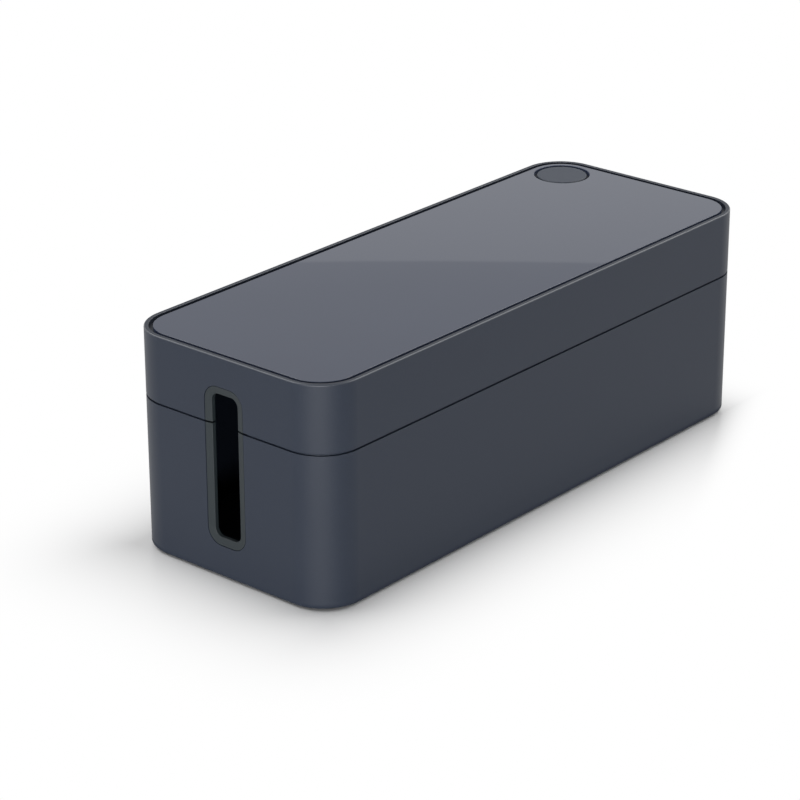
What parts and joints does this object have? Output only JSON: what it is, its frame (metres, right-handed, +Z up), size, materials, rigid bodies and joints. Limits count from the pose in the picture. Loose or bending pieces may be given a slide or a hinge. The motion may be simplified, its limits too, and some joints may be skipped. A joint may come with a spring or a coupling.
{
  "type": "cable management box",
  "caption": "Long box with round corners that hides a power strip and its cables: lift-off lid with an inlaid panel and a capped cable port, and a trimmed cable slot in each end.",
  "frame": {"origin": "on the floor under the middle of the box", "axes": "+X along the box's length towards the end with the capped port, +Z up, +Y across the box towards the side with the capped port"},
  "size_m": [0.406, 0.156, 0.1395],
  "materials": {
    "shell": "fine matt moulded texture",
    "panel": "satin, with soft reflections",
    "cap": "matt soft plastic",
    "trim": "matt",
    "foot": "matt"
  },
  "bodies": {
    "base": {"base_tub": "shell", "lower_trim_left": "trim", "lower_trim_right": "trim", "foot_front_left": "foot", "foot_front_right": "foot", "foot_back_left": "foot", "foot_back_right": "foot"},
    "lid": {"lid_shell": "shell", "top_panel": "panel", "upper_trim_left": "trim", "upper_trim_right": "trim"},
    "cap": {"port_cap": "cap"}
  },
  "joints": [
    {"name": "lid_lift", "type": "slide", "parent": "base", "child": "lid", "axis": [0, 0, 1], "range_m": [0, 0.08]},
    {"name": "cap_lift", "type": "slide", "parent": "lid", "child": "cap", "axis": [0, 0, 1], "range_m": [0, 0.03]}
  ]
}
